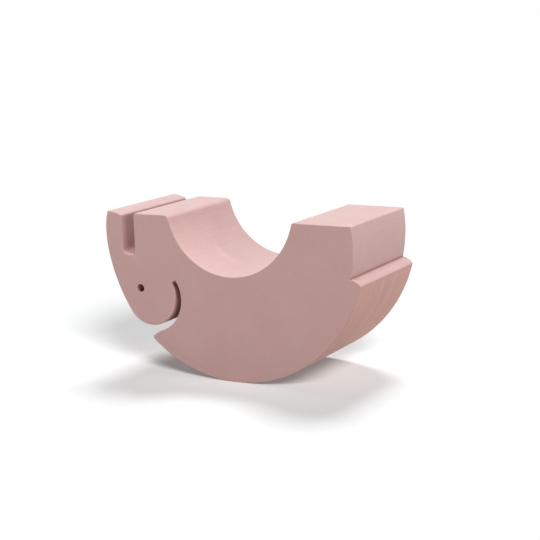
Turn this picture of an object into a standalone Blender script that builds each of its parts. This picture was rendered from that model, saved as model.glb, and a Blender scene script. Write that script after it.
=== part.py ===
# Foam rocking elephant: four foam sheets glued side by side and cut through along one outline.
# Metres, +Z up. The origin is on the floor, under the belly's centre, half way across the width.
# +X runs from the trunk to the rump. The near side is at -Y.

from math import acos, asin, atan2, ceil, cos, pi, radians, remainder, sin, sqrt

import bpy
from mathutils import Vector
from mathutils.geometry import interpolate_bezier

OBJECT_NAME = "foam_rocking_elephant"

# Sheets and glue films, from the near side to the far side
SHEET_NAMES = ("near_outer", "near_inner", "far_inner", "far_outer")
GLUE_NAMES = ("near", "middle", "far")
SHEET_THICKNESS = 0.04925
GLUE_THICKNESS = 0.0004
GLUE_GAP = 0.0003

# Belly, a round of one radius, and the flat where the foam gives under its own weight
ROCKER_RADIUS = 0.222
CONTACT_FLAT = 0.028

# Seat, a round hollow between the head and the rump
SEAT_RADIUS = 0.111
SEAT_HEIGHT = 0.1664
SEAT_DEPTH = 0.0905
SEAT_FORWARD = 0.0066
SEAT_FRONT_ROUND = 0.008
SEAT_BACK_ROUND = 0.004

# Rump, whose end face is set in from the belly's round, and the tail shelf under it
TAIL_STEP = 0.0185
RUMP_LENGTH = 0.079
RUMP_ROUND = 0.002
SHELF_DROP = 0.0098
SHELF_RADIUS = 0.023
SHELF_ROUND = 0.002
CREASE_ROUND = 0.0005

# Head top, and the slot between it and the raised trunk
HEAD_LENGTH = 0.0632
BROW_ROUND = 0.004
SLOT_WIDTH = 0.0227
SLOT_FLARE = 0.001
SLOT_DEPTH = 0.0666
SLOT_HEAD_ROUND = 0.004
SLOT_TRUNK_ROUND = 0.009

# Trunk: its tip, and its outer side, a long bow from the tip to the chin
TRUNK_WIDTH = 0.0264
TRUNK_RISE = 0.0016
TRUNK_TIP_RADIUS = 0.063
TRUNK_TIP_ROUND = 0.002
TRUNK_INNER_ROUND = 0.003
TRUNK_LEAN = 18
TRUNK_CHIN_ANGLE = 215
TRUNK_TIP_PULL = 0.25
TRUNK_CHIN_PULL = 0.36

# Chin, the ear slit that runs up behind it, and the eye hole
CHIN_RADIUS = 0.0448
CHIN_HEIGHT = 0.0779
CHIN_BACK = 0.0772
JAW_SWELL = 0.0055
JAW_ANGLE = -25
EAR_WIDTH = 0.0104
EAR_END_ANGLE = 34.4
EAR_END_ROUND = 0.0025
EYE_DIAMETER = 0.0132
EYE_FORWARD = 0.0195
EYE_ABOVE = 0.0136

# Front foot, from the ear slit's mouth to the belly
TOE_RADIUS = 0.06
TOE_ANGLE = -69.5
TOE_ROUND = 0.004

# Fineness: how deep an arc may stand over its chords, and how close two points count as one
CHORD_DEPTH = 0.00006
BOW_POINTS = 24
SAME_POINT = 0.000001

FOAM_COLOUR = (0.46, 0.285, 0.27)
FOAM_ROUGHNESS = 0.85
GLUE_COLOUR = (0.62, 0.43, 0.4)
GLUE_ROUGHNESS = 0.6

LEFT = Vector((-1, 0))
RIGHT = Vector((1, 0))
UP = Vector((0, 1))


def unit(degrees):
    """The direction at this angle in the side view, counted from +X towards +Z."""
    return Vector((cos(radians(degrees)), sin(radians(degrees))))


def meeting_point(first, first_distance, second, second_distance, side):
    """The point at these distances from two others, left (1) or right (-1) of the way between."""
    apart = second - first
    ahead = apart.normalized()
    squares = first_distance**2 - second_distance**2 + apart.length_squared
    along = squares / (2 * apart.length)
    across = side * sqrt(first_distance**2 - along**2)
    return first + along * ahead + across * ahead.orthogonal()


def point_along(start, ahead, centre, distance):
    """The last point on the line ahead of start that lies at this distance from a centre."""
    offset = centre - start
    along = offset.dot(ahead)
    return start + (along + sqrt(distance**2 - offset.length_squared + along**2)) * ahead


def arc_steps(radius, turn):
    """How many chords an arc needs, so that none lies deeper than CHORD_DEPTH inside it."""
    return max(1, ceil(abs(turn) / (2 * acos(1 - CHORD_DEPTH / abs(radius)))))


def belt(rounds, heading, last_heading):
    """Points along a belt that runs round each centre in turn, and straight between them.

    A positive radius is a rounded corner of the foam, and a negative one a rounded hollow.
    The headings are the belt's directions at its two ends, in radians.
    """
    headings = []
    for (centre, radius), (next_centre, next_radius) in zip(rounds, rounds[1:]):
        apart = next_centre - centre
        lean = max(-1, min(1, (next_radius - radius) / apart.length))
        headings.append(atan2(apart.y, apart.x) - asin(lean))
    points = []
    for (centre, radius), leaving in zip(rounds, headings + [last_heading]):
        turn = remainder(leaving - heading, 2 * pi)
        steps = arc_steps(radius, turn)
        for step in range(steps + 1):
            angle = heading + turn * step / steps
            points.append(centre + radius * Vector((sin(angle), -cos(angle))))
        heading = leaving
    return points


def side_loops():
    """The elephant's outline in the side view, counterclockwise, and the rim of its eye hole."""
    flat_angle = asin(CONTACT_FLAT / 2 / ROCKER_RADIUS)
    rocker = Vector((0, ROCKER_RADIUS * cos(flat_angle)))
    top = SEAT_HEIGHT + SEAT_DEPTH

    # Tail: a short shelf from the belly's round in to the rump's end face
    rump_radius = ROCKER_RADIUS - TAIL_STEP
    shelf_level = top - RUMP_LENGTH
    shelf_in = point_along(shelf_level * UP, RIGHT, rocker, rump_radius)
    shelf_out = point_along((shelf_level - SHELF_DROP) * UP, RIGHT, rocker, ROCKER_RADIUS)
    shelf = meeting_point(shelf_in, SHELF_RADIUS, shelf_out, SHELF_RADIUS, -1)
    belly_in = ROCKER_RADIUS - SHELF_ROUND
    shelf_edge = meeting_point(rocker, belly_in, shelf, SHELF_RADIUS - SHELF_ROUND, 1)
    rump_out = rump_radius + CREASE_ROUND
    crease = meeting_point(rocker, rump_out, shelf, SHELF_RADIUS + CREASE_ROUND, 1)
    rump_edge = point_along((top - RUMP_ROUND) * UP, RIGHT, rocker, rump_radius - RUMP_ROUND)

    # Seat: the hollow, and the rounded edges where it comes up to the tops
    seat = Vector((-SEAT_FORWARD, SEAT_HEIGHT + SEAT_RADIUS))
    back_reach = SEAT_RADIUS + SEAT_BACK_ROUND
    seat_back = point_along((top - SEAT_BACK_ROUND) * UP, RIGHT, seat, back_reach)
    front_reach = SEAT_RADIUS + SEAT_FRONT_ROUND
    seat_front = point_along((top - SEAT_FRONT_ROUND) * UP, LEFT, seat, front_reach)

    # Head top, slot and trunk tip, counted forward from the seat's front edge
    slot_back = point_along(top * UP, LEFT, seat, SEAT_RADIUS).x - HEAD_LENGTH
    slot_front = slot_back - SLOT_WIDTH
    slot_floor = top - SLOT_DEPTH
    brow = Vector((slot_back + BROW_ROUND, top - BROW_ROUND))
    slot_heel = Vector((slot_back + SLOT_FLARE - SLOT_HEAD_ROUND, slot_floor + SLOT_HEAD_ROUND))
    slot_toe = Vector((slot_front + SLOT_TRUNK_ROUND, slot_floor + SLOT_TRUNK_ROUND))
    trunk_front = slot_front - TRUNK_WIDTH
    tip = Vector((trunk_front, top + TRUNK_RISE - TRUNK_TIP_RADIUS))
    inner_reach = TRUNK_TIP_RADIUS - TRUNK_INNER_ROUND
    tip_inner = point_along((slot_front - TRUNK_INNER_ROUND) * RIGHT, UP, tip, inner_reach)
    outer_reach = TRUNK_TIP_RADIUS - TRUNK_TIP_ROUND
    tip_outer = point_along((trunk_front + TRUNK_TIP_ROUND) * RIGHT, UP, tip, outer_reach)

    # Chin, ear slit and eye
    chin = Vector((trunk_front + CHIN_BACK, CHIN_HEIGHT + CHIN_RADIUS))
    jaw = chin - JAW_SWELL * unit(JAW_ANGLE)
    jaw_radius = CHIN_RADIUS + JAW_SWELL
    ear_radius = CHIN_RADIUS + EAR_WIDTH
    ear_end = unit(EAR_END_ANGLE)
    ear_room = ear_radius - (point_along(chin, ear_end, jaw, jaw_radius) - chin).length
    ear_round = min(EAR_END_ROUND, ear_room / 2)
    ear_line = chin + ear_round * unit(EAR_END_ANGLE - 90)
    ear_inner = point_along(ear_line, ear_end, jaw, jaw_radius + ear_round)
    ear_outer = point_along(ear_line, ear_end, chin, ear_radius - ear_round)
    eye = chin + Vector((-EYE_FORWARD, EYE_ABOVE))

    # Front foot, from the ear slit's mouth down to the belly
    toe = chin + (ear_radius + TOE_RADIUS) * unit(TOE_ANGLE)
    toe_reach = ROCKER_RADIUS - TOE_ROUND
    toe_tip = meeting_point(toe, TOE_RADIUS - TOE_ROUND, rocker, toe_reach, 1)

    belly_to_tip = [
        (rocker, ROCKER_RADIUS),
        (shelf_edge, SHELF_ROUND),
        (shelf, SHELF_RADIUS),
        (crease, -CREASE_ROUND),
        (rocker, rump_radius),
        (rump_edge, RUMP_ROUND),
        (seat_back, SEAT_BACK_ROUND),
        (seat, -SEAT_RADIUS),
        (seat_front, SEAT_FRONT_ROUND),
        (brow, BROW_ROUND),
        (slot_heel, -SLOT_HEAD_ROUND),
        (slot_toe, -SLOT_TRUNK_ROUND),
        (tip_inner, TRUNK_INNER_ROUND),
        (tip, TRUNK_TIP_RADIUS),
        (tip_outer, TRUNK_TIP_ROUND),
    ]
    chin_to_belly = [
        (chin, CHIN_RADIUS),
        (jaw, jaw_radius),
        (ear_inner, -ear_round),
        (ear_outer, -ear_round),
        (chin, -ear_radius),
        (toe, TOE_RADIUS),
        (toe_tip, TOE_ROUND),
        (rocker, ROCKER_RADIUS),
    ]
    down_trunk = 270 - TRUNK_LEAN
    under_chin = TRUNK_CHIN_ANGLE + 90
    first = belt(belly_to_tip, flat_angle, radians(down_trunk))
    last = belt(chin_to_belly, radians(under_chin), -flat_angle)

    # The trunk's outer side leaves both ends in line with them and bows between
    start = first[-1]
    end = last[0]
    reach = (end - start).length
    start_handle = start + TRUNK_TIP_PULL * reach * unit(down_trunk)
    end_handle = end - TRUNK_CHIN_PULL * reach * unit(under_chin)
    bow = interpolate_bezier(start, start_handle, end_handle, end, BOW_POINTS)
    around = first + bow + last
    following = around[1:] + around[:1]
    outline = [here for here, there in zip(around, following) if (there - here).length > SAME_POINT]

    eye_steps = arc_steps(EYE_DIAMETER / 2, 2 * pi)
    eye_angles = [360 * step / eye_steps for step in range(eye_steps)]
    return outline, [eye + EYE_DIAMETER / 2 * unit(angle) for angle in eye_angles]


def add_layer(collection, name, thickness, middle, colour, roughness):
    """One sheet or film: the elephant's outline with its eye hole, this thick, at this place in Y."""
    curve = bpy.data.curves.new(name, "CURVE")
    curve.dimensions = "2D"
    curve.fill_mode = "BOTH"
    curve.extrude = thickness / 2
    for loop in side_loops():
        spline = curve.splines.new("POLY")
        spline.points.add(len(loop) - 1)
        for point, place in zip(spline.points, loop):
            point.co = (place.x, place.y, 0, 1)
        spline.use_cyclic_u = True

    finish = bpy.data.materials.new(name)
    finish.use_nodes = True
    shader = finish.node_tree.nodes["Principled BSDF"]
    shader.inputs["Base Color"].default_value = (*colour, 1)
    shader.inputs["Roughness"].default_value = roughness
    shader.inputs["Metallic"].default_value = 0
    curve.materials.append(finish)

    layer = bpy.data.objects.new(name, curve)
    layer.location.y = middle
    layer.rotation_euler.x = radians(90)
    collection.objects.link(layer)


def main():
    for old in list(bpy.data.objects):
        bpy.data.objects.remove(old)
    collection = bpy.data.collections.new(OBJECT_NAME)
    bpy.context.scene.collection.children.link(collection)

    film_room = GLUE_THICKNESS + 2 * GLUE_GAP
    pitch = SHEET_THICKNESS + film_room
    first_middle = -pitch * (len(SHEET_NAMES) - 1) / 2
    for place, name in enumerate(SHEET_NAMES):
        middle = first_middle + pitch * place
        name = f"foam_sheet_{name}"
        add_layer(collection, name, SHEET_THICKNESS, middle, FOAM_COLOUR, FOAM_ROUGHNESS)
    for place, name in enumerate(GLUE_NAMES):
        middle = first_middle + pitch * place + pitch / 2
        name = f"glue_film_{name}"
        add_layer(collection, name, GLUE_THICKNESS, middle, GLUE_COLOUR, GLUE_ROUGHNESS)


main()
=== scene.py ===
import math

import bmesh
import bpy
from mathutils import Matrix, Vector


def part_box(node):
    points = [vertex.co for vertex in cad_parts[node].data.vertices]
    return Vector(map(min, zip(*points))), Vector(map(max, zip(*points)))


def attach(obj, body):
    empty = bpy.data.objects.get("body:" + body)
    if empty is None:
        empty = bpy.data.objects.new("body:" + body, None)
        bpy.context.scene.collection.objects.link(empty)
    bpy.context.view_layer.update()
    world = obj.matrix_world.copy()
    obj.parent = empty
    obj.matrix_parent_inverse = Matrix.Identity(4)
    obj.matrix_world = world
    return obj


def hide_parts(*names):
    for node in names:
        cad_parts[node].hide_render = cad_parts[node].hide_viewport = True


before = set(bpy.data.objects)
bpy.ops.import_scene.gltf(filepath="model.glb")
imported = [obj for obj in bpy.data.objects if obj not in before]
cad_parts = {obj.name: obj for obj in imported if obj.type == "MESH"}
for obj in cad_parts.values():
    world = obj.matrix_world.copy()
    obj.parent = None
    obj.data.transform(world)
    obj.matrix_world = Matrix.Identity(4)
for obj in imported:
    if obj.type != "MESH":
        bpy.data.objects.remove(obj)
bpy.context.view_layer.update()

# Camera: a long lens at the photograph's place, a little above the elephant and round towards
# its rump, so that the near side, the saddle and the rump's end face all show.
LENS_MM = 96.69
SENSOR_MM = 36
CAMERA_PLACE = Vector((1.0840, -1.9997, 0.6062))
CAMERA_TURN = 28.21
CAMERA_DOWN = 11.11
CAMERA_ROLL = -1.35

lens = bpy.data.cameras.new("studio_camera")
lens.lens = LENS_MM
lens.sensor_width = SENSOR_MM
camera = bpy.data.objects.new("studio_camera", lens)
bpy.context.scene.collection.objects.link(camera)
turned = Matrix.Rotation(math.radians(CAMERA_TURN), 4, "Z")
tipped = Matrix.Rotation(math.radians(90 - CAMERA_DOWN), 4, "X")
rolled = Matrix.Rotation(math.radians(CAMERA_ROLL), 4, "Z")
camera.matrix_world = Matrix.Translation(CAMERA_PLACE) @ turned @ tipped @ rolled
bpy.context.scene.camera = camera

# Outer foam sheets: two of the four sheets of closed-cell EVA play foam that were glued side by
# side and then cut through together with a band knife. These two carry the flat side faces, whose
# edges hands and storage have softened.
SHEET_BODY = "root"
OUTER_EDGE_ROUND = 0.0012
JOINT_EDGE_ROUND = 0.00015
EDGE_STEPS = 4
SAME_PLACE = 0.00001
FLAT_ANGLE = 0.05
ACROSS_SHARE = 0.99
SIDE_SHARE = 0.5
EYE_X = -0.1699
RIM_STEP = 0.003
MOST_CUTS = 40
ROW_STEP = 0.006
CREASE_X = 0.19896
CREASE_Z = 0.17805
CREASE_NEAR = 0.00015
OVERCUT = 0.0018


def srgb(code):
    """The linear colour, with full alpha, of an sRGB hex code."""
    shares = [int(code[place : place + 2], 16) / 255 for place in (1, 3, 5)]
    return [s / 12.92 if s <= 0.04045 else ((s + 0.055) / 1.055) ** 2.4 for s in shares] + [1]


def add_node(tree, kind, settings=None, **sockets):
    """Adds a node with its properties, the settings. Each socket is an input's name, or _ and its
    place among the inputs, with a value or an output to link."""
    node = tree.nodes.new(kind)
    for name, value in (settings or {}).items():
        setattr(node, name, value)
    for name, value in sockets.items():
        place = int(name[1:]) if name[1:].isdigit() else name.replace("_", " ")
        socket = node.inputs[place]
        if isinstance(value, bpy.types.NodeSocket):
            tree.links.new(value, socket)
        else:
            socket.default_value = value
    return node


def new_material(name):
    """An empty material, its node tree and its Principled shader."""
    material = bpy.data.materials.new(name)
    material.use_nodes = True
    return material, material.node_tree, material.node_tree.nodes["Principled BSDF"]


def work_on(obj):
    """Leaves this object alone selected and active, in edit mode with nothing of it selected."""
    bpy.ops.object.select_all(action="DESELECT")
    obj.select_set(True)
    bpy.context.view_layer.objects.active = obj
    bpy.ops.object.mode_set(mode="EDIT")
    bpy.ops.mesh.select_mode(type="EDGE")
    bpy.ops.mesh.select_all(action="DESELECT")


def pick_edges(obj, wanted):
    """Selects the edges that are wanted, and no others. Returns how many."""
    bpy.ops.mesh.select_all(action="DESELECT")
    cage = bmesh.from_edit_mesh(obj.data)
    picked = [edge for edge in cage.edges if wanted(edge)]
    for edge in picked:
        edge.select_set(True)
    bmesh.update_edit_mesh(obj.data)
    return len(picked)


def runs_across(edge):
    """Whether an edge runs through the block's depth."""
    span = edge.verts[1].co - edge.verts[0].co
    return abs(span.y) > ACROSS_SHARE * span.length


def on_corner(edge):
    """Whether an edge is where a flat side of the sheet meets the cut rim."""
    return sorted(abs(face.normal.y) > SIDE_SHARE for face in edge.link_faces) == [False, True]


def through_eye(edge):
    """Whether an edge lies on a flat side and on the upright line through the eye."""
    above_eye = all(abs(vert.co.x - EYE_X) < SAME_PLACE for vert in edge.verts)
    return above_eye and not runs_across(edge)


def merged_copy(name, node):
    """A copy of a CAD node with its points merged and its flat sides made whole."""
    piece = bpy.data.objects.new(name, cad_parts[node].data.copy())
    piece.data.name = name
    piece.data.materials.clear()
    bpy.context.scene.collection.objects.link(piece)
    work_on(piece)
    bpy.ops.mesh.select_all(action="SELECT")
    bpy.ops.mesh.remove_doubles(threshold=SAME_PLACE)
    # Each flat side is halved through the eye, so that neither half has a hole in it
    bpy.ops.mesh.bisect(plane_co=(EYE_X, 0, 0), plane_no=(1, 0, 0))
    pick_edges(piece, through_eye)
    bpy.ops.mesh.mark_seam()
    bpy.ops.mesh.select_all(action="SELECT")
    bpy.ops.mesh.dissolve_limited(angle_limit=math.radians(FLAT_ANGLE), delimit={"SEAM"})
    bpy.ops.mesh.mark_seam(clear=True)
    # Points along the outline, close enough for the roundings to follow its curves evenly
    for cuts in range(MOST_CUTS, 0, -1):
        longest = (cuts + 1) * RIM_STEP
        shortest = cuts * RIM_STEP
        if pick_edges(piece, lambda e: on_corner(e) and shortest < e.calc_length() <= longest):
            bpy.ops.mesh.subdivide(number_cuts=cuts)
    return piece


def foam_sheet(name, near_round, far_round):
    """Makes one sheet, with the near and far edges of its cut rim rounded by these radii."""
    node = "foam_sheet_" + name
    sheet = merged_copy("eva_foam_" + name, node)
    low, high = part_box(node)
    for level, rounding in ((low.y, near_round), (high.y, far_round)):
        pick_edges(sheet, lambda e: on_corner(e) and abs(e.verts[0].co.y - level) < SAME_PLACE)
        bpy.ops.mesh.bevel(offset=rounding, segments=EDGE_STEPS, clamp_overlap=False)
    # The knife was turned in the crease over the tail shelf and cut a little past it
    bpy.ops.mesh.select_mode(type="VERT")
    cage = bmesh.from_edit_mesh(sheet.data)
    for point in cage.verts:
        level_with = abs(point.co.x - CREASE_X) < CREASE_NEAR
        point.select_set(level_with and abs(point.co.z - CREASE_Z) < CREASE_NEAR)
    bmesh.update_edit_mesh(sheet.data)
    bpy.ops.transform.translate(value=(-OVERCUT, 0, 0))
    # Rows of points through the depth, so that the cut rim is shaded evenly
    bpy.ops.mesh.select_mode(type="EDGE")
    pick_edges(sheet, lambda e: runs_across(e) and e.calc_length() > ROW_STEP)
    bpy.ops.mesh.subdivide(number_cuts=round((high.y - low.y) / ROW_STEP) - 1)
    bpy.ops.object.mode_set(mode="OBJECT")
    bpy.ops.object.shade_smooth()
    even = sheet.modifiers.new("even_shading", "WEIGHTED_NORMAL")
    bpy.ops.object.modifier_apply(modifier=even.name)
    sheet.data.materials.append(eva_foam)
    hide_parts(node)
    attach(sheet, SHEET_BODY)


# Closed-cell EVA foam, dyed dusty pink right through, skived flat on its sides and knife-cut on
# its rim: dull with a soft sheen at low angles, a very fine grain, faint marks of the knife along
# the depth on every cut face, and a slight yellowing where the belly rubs on floors. Painted light
# lightens the belly as the floor's bounce light would, and painted shade darkens the crease over
# the tail shelf.
FOAM_PINK = "#BE9895"
FOAM_PALE = "#CAA6A3"
FOAM_DEEP = "#B18B88"
FOAM_ROUGHNESS = 0.52
FOAM_IOR = 1.52
FOAM_SHEEN = 0.14
SHEEN_ROUGHNESS = 0.5
MM_PER_M = 1000
MIDDLE = 0.5
SIDE_NORMAL = 0.8
CUT_NORMAL = 0.2

# The patterns: their sizes, how finely their noise is broken up, and how much each one shows
GRAIN_MM = 1.6
GRAIN_DETAIL = 1
GRAIN_TONE = 0.38
GRAIN_RELIEF = 0.3
CLOUD_MM = 60
CLOUD_DETAIL = 3
CLOUD_TONE = 0.4
MARK_MM = 2.6
MARK_STRETCH = 0.03
MARK_SLANT = 5
MARK_DETAIL = 3
MARK_RAGGED = 0.65
MARK_TONE = 0.5
MARK_DEPTH = 0.00006

# The rubbed belly and its painted bounce light, the pale patch in the saddle and the painted shade
# in the crease: their places, reaches and tones
BELLY_TOP = 0.17
BELLY_TOP_FADE = 0.01
BELLY_FRONT = -0.12
BELLY_FRONT_FADE = 0.02
BELLY_TURN = 0.1
# Painted bounce light: the rubbed belly's colour is made lighter as well as warmer, as light from
# the floor would make it
RUBBED_AND_BOUNCE_LIT_SHARE = (1.2, 1.15, 1.08, 1)
RUBBED_ROUGHNESS = 0.85
STREAK_MM = 9
STREAK_STRETCH = 0.06
STREAK_DETAIL = 2
STREAK_NONE = 0.3
STREAK_FULL = 0.6
STREAK_LEAST = 0.2
# A paler patch low in the front of the saddle: its place, reach, colour and share
PALE_PATCH_PLACE = Vector((-0.058, -0.012, 0.179))
PALE_PATCH_REACH = Vector((0.035, 0.013, 0.03))
PALE_PATCH_COLOUR = "#DCC2BF"
PALE_PATCH_SHARE = 0.45
# Painted shade in the crease over the tail shelf: its reach and its darker tone
CREASE_SHADE_REACH = Vector((0.005, 0, 0.005))
CREASE_SHADE_TONE = (0.8, 0.7, 0.68, 1)

# Settings of nodes. A Mix of colours has its share in place 0 and its colours in places 6 and 7,
# and gives its colour in place 2
TIMES = {"operation": "MULTIPLY"}
TIMES_AND_ADD = {"operation": "MULTIPLY_ADD"}
MINUS = {"operation": "SUBTRACT"}
MIX_COLOURS = {"data_type": "RGBA"}
TIMES_COLOURS = {"data_type": "RGBA", "blend_type": "MULTIPLY"}

eva_foam, foam, foam_shader = new_material("cut_closed_cell_eva_foam")
foam_place = add_node(foam, "ShaderNodeTexCoord").outputs["Object"]
normal = add_node(foam, "ShaderNodeNewGeometry").outputs["Normal"]
facing = add_node(foam, "ShaderNodeSeparateXYZ", Vector=normal)
where = add_node(foam, "ShaderNodeSeparateXYZ", Vector=foam_place)

# The cells are about 0.3 mm, too fine to show, so the grain is drawn at GRAIN_MM
grain = add_node(
    foam,
    "ShaderNodeTexNoise",
    Vector=foam_place,
    Scale=MM_PER_M / GRAIN_MM,
    Detail=GRAIN_DETAIL,
)
cloud = add_node(
    foam,
    "ShaderNodeTexNoise",
    Vector=foam_place,
    Scale=MM_PER_M / CLOUD_MM,
    Detail=CLOUD_DETAIL,
)

# Knife marks: a noise drawn out along the depth, on cut faces alone, whose normals have no share
# of the depth
depthwise = add_node(
    foam,
    "ShaderNodeMapping",
    Vector=foam_place,
    Rotation=(0, 0, math.radians(MARK_SLANT)),
    Scale=(1, MARK_STRETCH, 1),
)
marks = add_node(
    foam,
    "ShaderNodeTexNoise",
    Vector=depthwise.outputs["Vector"],
    Scale=MM_PER_M / MARK_MM,
    Detail=MARK_DETAIL,
    Roughness=MARK_RAGGED,
)
side_share = add_node(foam, "ShaderNodeMath", {"operation": "ABSOLUTE"}, _0=facing.outputs["Y"])
cut_share = add_node(
    foam,
    "ShaderNodeMapRange",
    Value=side_share.outputs[0],
    From_Min=SIDE_NORMAL,
    From_Max=CUT_NORMAL,
)
uneven = add_node(foam, "ShaderNodeMath", MINUS, _0=marks.outputs["Fac"], _1=MIDDLE)
mark_tone = add_node(
    foam, "ShaderNodeMath", TIMES, _0=cut_share.outputs[0], _1=uneven.outputs[0]
)

tone = MIDDLE - (GRAIN_TONE + CLOUD_TONE) / 2
for pattern, share in (
    (mark_tone.outputs[0], MARK_TONE),
    (grain.outputs["Fac"], GRAIN_TONE),
    (cloud.outputs["Fac"], CLOUD_TONE),
):
    toned = add_node(foam, "ShaderNodeMath", TIMES_AND_ADD, _0=pattern, _1=share, _2=tone)
    tone = toned.outputs[0]
dye = add_node(foam, "ShaderNodeValToRGB", Fac=tone)
dye.color_ramp.elements[0].color = srgb(FOAM_DEEP)
dye.color_ramp.elements[1].color = srgb(FOAM_PALE)
dye.color_ramp.elements.new(MIDDLE).color = srgb(FOAM_PINK)

# Where the belly rubs, and where painted bounce light from the floor lightens it: cut faces that
# look down or outward below the tail shelf, not the head's
low_down = add_node(
    foam,
    "ShaderNodeMapRange",
    Value=where.outputs["Z"],
    From_Min=BELLY_TOP,
    From_Max=BELLY_TOP - BELLY_TOP_FADE,
)
looks_down = add_node(
    foam,
    "ShaderNodeMapRange",
    Value=facing.outputs["Z"],
    From_Min=BELLY_TURN,
    From_Max=-BELLY_TURN,
)
behind_head = add_node(
    foam,
    "ShaderNodeMapRange",
    Value=where.outputs["X"],
    From_Min=BELLY_FRONT,
    From_Max=BELLY_FRONT + BELLY_FRONT_FADE,
)
rubbed_and_bounce_lit = low_down.outputs[0]
for limit in (looks_down, cut_share, behind_head):
    limited = add_node(foam, "ShaderNodeMath", TIMES, _0=rubbed_and_bounce_lit, _1=limit.outputs[0])
    rubbed_and_bounce_lit = limited.outputs[0]

# The rubbing, and the painted bounce light with it, lies in soft streaks that follow the roll, from
# the shelf down under the belly
roll_wise = add_node(
    foam,
    "ShaderNodeMapping",
    Vector=foam_place,
    Scale=(STREAK_STRETCH, 1, STREAK_STRETCH),
)
streaks = add_node(
    foam,
    "ShaderNodeTexNoise",
    Vector=roll_wise.outputs["Vector"],
    Scale=MM_PER_M / STREAK_MM,
    Detail=STREAK_DETAIL,
)
streak_share = add_node(
    foam,
    "ShaderNodeMapRange",
    Value=streaks.outputs["Fac"],
    From_Min=STREAK_NONE,
    From_Max=STREAK_FULL,
    To_Min=STREAK_LEAST,
)
streaked = add_node(foam, "ShaderNodeMath", TIMES, _0=rubbed_and_bounce_lit, _1=streak_share.outputs[0])
belly_rub_and_bounce_colour = add_node(
    foam,
    "ShaderNodeMix",
    TIMES_COLOURS,
    _0=streaked.outputs[0],
    _6=dye.outputs["Color"],
    _7=RUBBED_AND_BOUNCE_LIT_SHARE,
)


def fading_from(centre, reach):
    """The share that fades from 1 at a place to 0 at this reach along each axis. 0 is no limit."""
    shrink = Vector([1 / length if length else 0 for length in reach])
    shrunk = add_node(
        foam, "ShaderNodeMapping", Vector=foam_place, Location=-centre * shrink, Scale=shrink
    )
    round_it = {"gradient_type": "SPHERICAL"}
    fading = add_node(foam, "ShaderNodeTexGradient", round_it, Vector=shrunk.outputs["Vector"])
    return fading.outputs["Fac"]


# A paler patch beside the middle line, low in the front of the saddle
near_pale_patch = fading_from(PALE_PATCH_PLACE, PALE_PATCH_REACH)
pale_patch_share = add_node(foam, "ShaderNodeMath", TIMES, _0=near_pale_patch, _1=streak_share.outputs[0])
pale_patch_share = add_node(foam, "ShaderNodeMath", TIMES, _0=pale_patch_share.outputs[0], _1=PALE_PATCH_SHARE)
with_pale_patch = add_node(
    foam,
    "ShaderNodeMix",
    MIX_COLOURS,
    _0=pale_patch_share.outputs[0],
    _6=belly_rub_and_bounce_colour.outputs[2],
    _7=srgb(PALE_PATCH_COLOUR),
)

# Painted shade: the colour is darkened in the crease over the tail shelf, where shade falls
in_shaded_crease = fading_from(Vector((CREASE_X, 0, CREASE_Z)), CREASE_SHADE_REACH)
crease_shade_share = add_node(foam, "ShaderNodeMath", TIMES, _0=in_shaded_crease, _1=cut_share.outputs[0])
crease_shaded_colour = add_node(
    foam,
    "ShaderNodeMix",
    TIMES_COLOURS,
    _0=crease_shade_share.outputs[0],
    _6=with_pale_patch.outputs[2],
    _7=CREASE_SHADE_TONE,
)
foam.links.new(crease_shaded_colour.outputs[2], foam_shader.inputs["Base Color"])

# The marks and the grain stand out a little, and the rubbed belly is the most matt
relief = add_node(
    foam,
    "ShaderNodeMath",
    TIMES_AND_ADD,
    _0=grain.outputs["Fac"],
    _1=GRAIN_RELIEF,
    _2=mark_tone.outputs[0],
)
bump = add_node(
    foam, "ShaderNodeBump", Strength=1, Distance=MARK_DEPTH, Height=relief.outputs[0]
)
foam.links.new(bump.outputs["Normal"], foam_shader.inputs["Normal"])
matt = add_node(
    foam,
    "ShaderNodeMapRange",
    Value=rubbed_and_bounce_lit,
    To_Min=FOAM_ROUGHNESS,
    To_Max=RUBBED_ROUGHNESS,
)
foam.links.new(matt.outputs[0], foam_shader.inputs["Roughness"])
foam_shader.inputs["IOR"].default_value = FOAM_IOR
foam_shader.inputs["Sheen Weight"].default_value = FOAM_SHEEN
foam_shader.inputs["Sheen Roughness"].default_value = SHEEN_ROUGHNESS

foam_sheet("near_outer", OUTER_EDGE_ROUND, JOINT_EDGE_ROUND)
foam_sheet("far_outer", JOINT_EDGE_ROUND, OUTER_EDGE_ROUND)

# Inner foam sheets: the other two sheets, the same foam and thickness. They show only as bands of
# the cut rim between the glue lines, with both edges tight against the glue.
foam_sheet("near_inner", JOINT_EDGE_ROUND, JOINT_EDGE_ROUND)
foam_sheet("far_inner", JOINT_EDGE_ROUND, JOINT_EDGE_ROUND)

# Glue films: contact adhesive that was brushed on both sheets and pressed, so a thin film soaks
# into both faces and fills each joint right out to the rim, cut flush with the foam. It dries pale.
GLUE_CLEAR = 0.00001
FILM_SMOOTH_ANGLE = 30
GLUE_PINK = "#CDA7A3"
GLUE_THIN = "#C6A09C"
GLUE_ROUGHNESS = 0.5
GLUE_IOR = 1.48
CLOT_MM = 20
CLOT_DETAIL = 2
CLOT_NONE = 0.3
CLOT_FULL = 0.6

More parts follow.
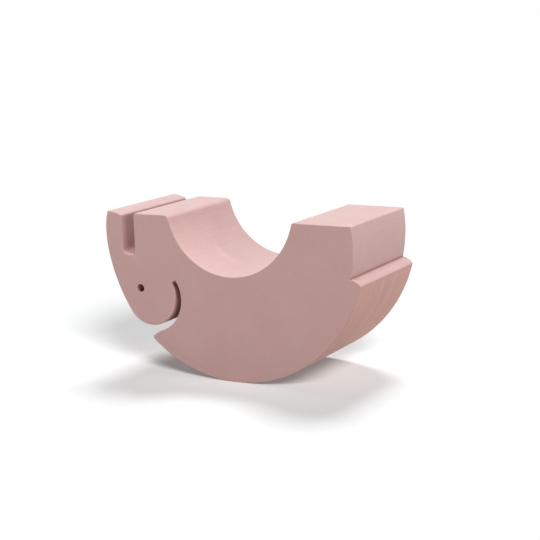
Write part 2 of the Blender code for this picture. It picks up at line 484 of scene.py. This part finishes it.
# Dried contact adhesive: satin, a little paler than the foam, and palest where it clotted
dried_glue, glue, glue_shader = new_material("dried_contact_adhesive")
glue_place = add_node(glue, "ShaderNodeTexCoord").outputs["Object"]
clots = add_node(
    glue,
    "ShaderNodeTexNoise",
    Vector=glue_place,
    Scale=MM_PER_M / CLOT_MM,
    Detail=CLOT_DETAIL,
)
tint = add_node(glue, "ShaderNodeValToRGB", Fac=clots.outputs["Fac"])
tint.color_ramp.elements[0].color = srgb(GLUE_THIN)
tint.color_ramp.elements[0].position = CLOT_NONE
tint.color_ramp.elements[1].color = srgb(GLUE_PINK)
tint.color_ramp.elements[1].position = CLOT_FULL
glue.links.new(tint.outputs["Color"], glue_shader.inputs["Base Color"])
glue_shader.inputs["Roughness"].default_value = GLUE_ROUGHNESS
glue_shader.inputs["IOR"].default_value = GLUE_IOR

for name, before, after in (
    ("near", "near_outer", "near_inner"),
    ("middle", "near_inner", "far_inner"),
    ("far", "far_inner", "far_outer"),
):
    node = "glue_film_" + name
    film = merged_copy("contact_glue_" + name, node)
    low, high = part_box(node)
    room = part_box("foam_sheet_" + after)[0].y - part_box("foam_sheet_" + before)[1].y
    fuller = (room - 2 * GLUE_CLEAR) / (high.y - low.y)
    bpy.ops.mesh.select_all(action="SELECT")
    bpy.ops.transform.resize(value=(1, fuller, 1), center_override=(low + high) / 2)
    bpy.ops.object.mode_set(mode="OBJECT")
    bpy.ops.object.shade_smooth_by_angle(angle=math.radians(FILM_SMOOTH_ANGLE))
    film.data.materials.append(dried_glue)
    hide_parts(node)
    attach(film, SHEET_BODY)

# Studio: a plain white floor and surround, with three broad soft lamps on the elephant: a cool one
# overhead, one low on the rump's side and a weaker one on the trunk's side. Two more light the
# floor alone and give the soft grey shadows under the head and before the belly.
FLOOR_REACH = 40
FLOOR_WHITE = (0.93, 0.945, 0.945, 1)
FLOOR_BOUNCE = (0.53, 0.465, 0.4, 1)
SHADOW_LIFT = 0.18
PLAIN_WHITE = (1, 1, 1)
TOP_TINT = (0.94, 1, 1)
# Each lamp: its name, strength, tint, width in degrees, and the direction that it shines from
OBJECT_LAMPS = (
    ("top_lamp", 4.2, TOP_TINT, 60, Vector((0.16, 0.02, 1))),
    ("rump_side_lamp", 1.9, PLAIN_WHITE, 40, Vector((0.936, -0.341, 0.087))),
    ("trunk_side_lamp", 1.25, PLAIN_WHITE, 50, Vector((-0.604, -0.72, 0.342))),
)
SHADOW_LAMPS = (
    ("back_shadow_lamp", 2.15, PLAIN_WHITE, 20, Vector((-0.15, 0.62, 1))),
    ("front_shadow_lamp", 2.85, PLAIN_WHITE, 20, Vector((0.95, -1.0, 1))),
)


def seen_directly(tree):
    """An output of 1 for what the camera sees, straight or by way of a surface, and 0 for light."""
    rays = add_node(tree, "ShaderNodeLightPath")
    seen = rays.outputs["Is Camera Ray"]
    either = {"operation": "MAXIMUM"}
    for ray in ("Is Glossy Ray", "Is Transmission Ray"):
        widened = add_node(tree, "ShaderNodeMath", either, _0=seen, _1=rays.outputs[ray])
        seen = widened.outputs[0]
    return seen


# The floor is white where it is seen, with some white of its own in the shadows, and sends a
# darker, warmer light back up to the elephant
bpy.ops.object.select_all(action="DESELECT")
bpy.ops.mesh.primitive_plane_add(size=FLOOR_REACH, location=(0, 0, 0))
floor = bpy.context.object
floor.name = "studio_floor"
white, paper, paper_shader = new_material("white_studio_floor")
paper.nodes.remove(paper_shader)
seen = seen_directly(paper)
colour = add_node(paper, "ShaderNodeMix", MIX_COLOURS, _0=seen, _6=FLOOR_BOUNCE, _7=FLOOR_WHITE)
lit = add_node(paper, "ShaderNodeBsdfDiffuse", Color=colour.outputs[2])
glow = add_node(paper, "ShaderNodeEmission", Strength=1)
lift = add_node(paper, "ShaderNodeMath", TIMES, _0=seen, _1=SHADOW_LIFT)
both = add_node(
    paper, "ShaderNodeMixShader", Fac=lift.outputs[0], _1=lit.outputs[0], _2=glow.outputs[0]
)
paper.links.new(both.outputs[0], paper.nodes["Material Output"].inputs["Surface"])
floor.data.materials.append(white)

# The surround is white where it is seen, and lights nothing
surround = bpy.data.worlds.new("studio_surround")
surround.use_nodes = True
sky = surround.node_tree
backdrop = sky.nodes["Background"]
backdrop.inputs["Color"].default_value = (*PLAIN_WHITE, 1)
sky.links.new(seen_directly(sky), backdrop.inputs["Strength"])
bpy.context.scene.world = surround


def lit_group(name, state):
    """A group that holds the floor, so that a lamp lights it alone, or all but it."""
    group = bpy.data.collections.new(name)
    group.objects.link(floor)
    group.collection_objects[0].light_linking.link_state = state
    return group


def soft_lamp(name, strength, tint, spread, towards, lit):
    """A far, broad lamp that shines from this direction, as wide as this many degrees."""
    light = bpy.data.lights.new(name, "SUN")
    light.energy = strength
    light.color = tint
    light.angle = math.radians(spread)
    lamp = bpy.data.objects.new(name, light)
    lamp.rotation_euler = towards.to_track_quat("Z", "Y").to_euler()
    lamp.light_linking.receiver_collection = lit
    bpy.context.scene.collection.objects.link(lamp)


floor_alone = lit_group("lit_floor_alone", "INCLUDE")
all_but_floor = lit_group("lit_all_but_floor", "EXCLUDE")
for lamp in OBJECT_LAMPS:
    soft_lamp(*lamp, all_but_floor)
for lamp in SHADOW_LAMPS:
    soft_lamp(*lamp, floor_alone)

bpy.context.scene.view_settings.view_transform = "Standard"
